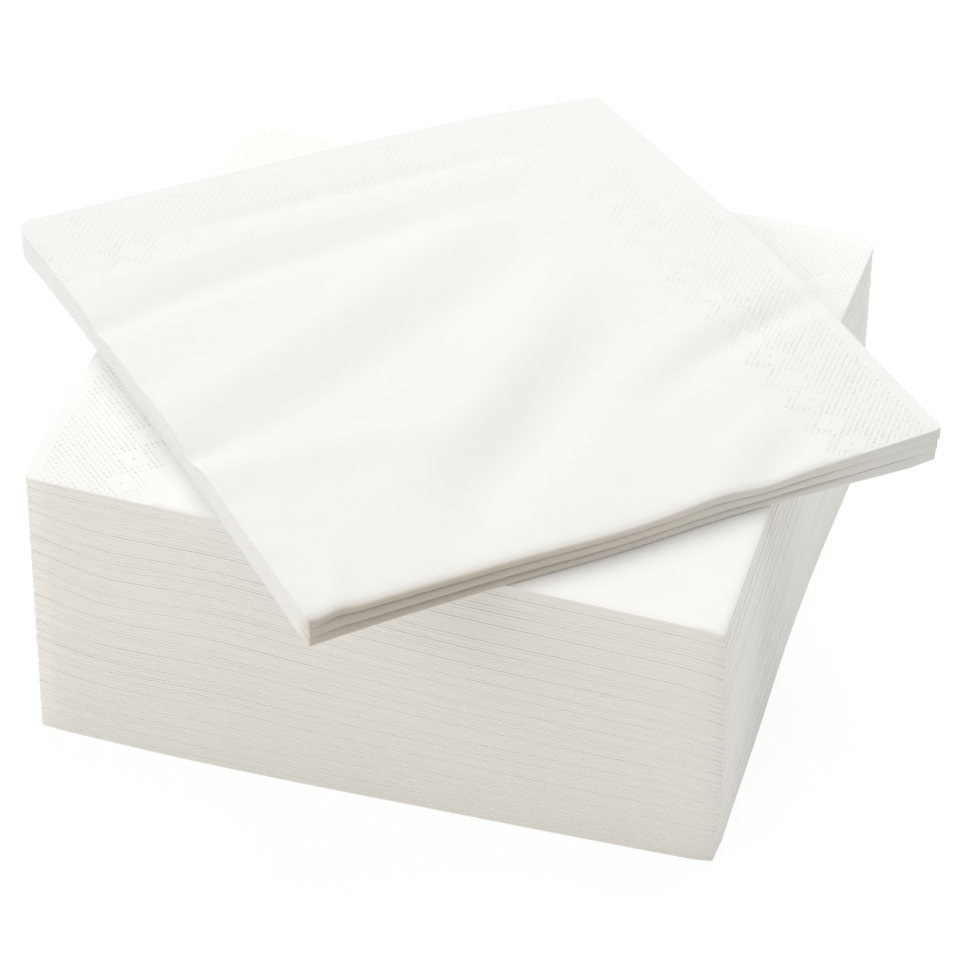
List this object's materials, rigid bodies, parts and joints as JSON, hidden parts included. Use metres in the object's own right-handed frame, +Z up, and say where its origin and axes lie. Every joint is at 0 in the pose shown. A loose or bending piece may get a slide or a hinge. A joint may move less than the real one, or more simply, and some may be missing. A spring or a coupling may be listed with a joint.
{
  "type": "stack of paper napkins",
  "caption": "Squared stack of white quarter-folded paper napkins with a loose bundle turned across its top, embossed borders.",
  "frame": {"origin": "middle of the squared pile's underside, on the surface it stands on", "axes": "+Z up; +X along the first folds towards the second folds; +Y from the first folds to the open edges"},
  "size_m": [0.2811, 0.2813, 0.0998],
  "materials": {
    "tissue": "matt, embossed border",
    "loose_tissue": "matt, embossed border"
  },
  "bodies": {
    "root": {"napkin_01": "tissue", "napkin_02": "tissue", "napkin_03": "tissue", "napkin_04": "tissue", "napkin_05": "tissue", "napkin_06": "tissue", "napkin_07": "tissue", "napkin_08": "tissue", "napkin_09": "tissue", "napkin_10": "tissue", "napkin_11": "tissue", "napkin_12": "tissue", "napkin_13": "tissue", "napkin_14": "tissue", "napkin_15": "tissue", "napkin_16": "tissue", "napkin_17": "tissue", "napkin_18": "tissue", "napkin_19": "tissue", "napkin_20": "tissue", "napkin_21": "tissue", "napkin_22": "tissue", "napkin_23": "tissue", "napkin_24": "tissue", "napkin_25": "tissue", "napkin_26": "tissue", "napkin_27": "tissue", "napkin_28": "tissue", "napkin_29": "tissue", "napkin_30": "tissue", "napkin_31": "tissue", "napkin_32": "tissue", "napkin_33": "tissue", "napkin_34": "tissue", "napkin_35": "tissue", "napkin_36": "tissue", "napkin_37": "tissue", "napkin_38": "tissue", "napkin_39": "tissue", "napkin_40": "tissue", "napkin_41": "tissue", "napkin_42": "tissue", "napkin_43": "tissue", "napkin_44": "tissue", "napkin_45": "tissue", "napkin_46": "tissue", "napkin_47": "tissue", "top_napkin_1": "loose_tissue", "top_napkin_2": "loose_tissue", "top_napkin_3": "loose_tissue"}
  },
  "joints": []
}
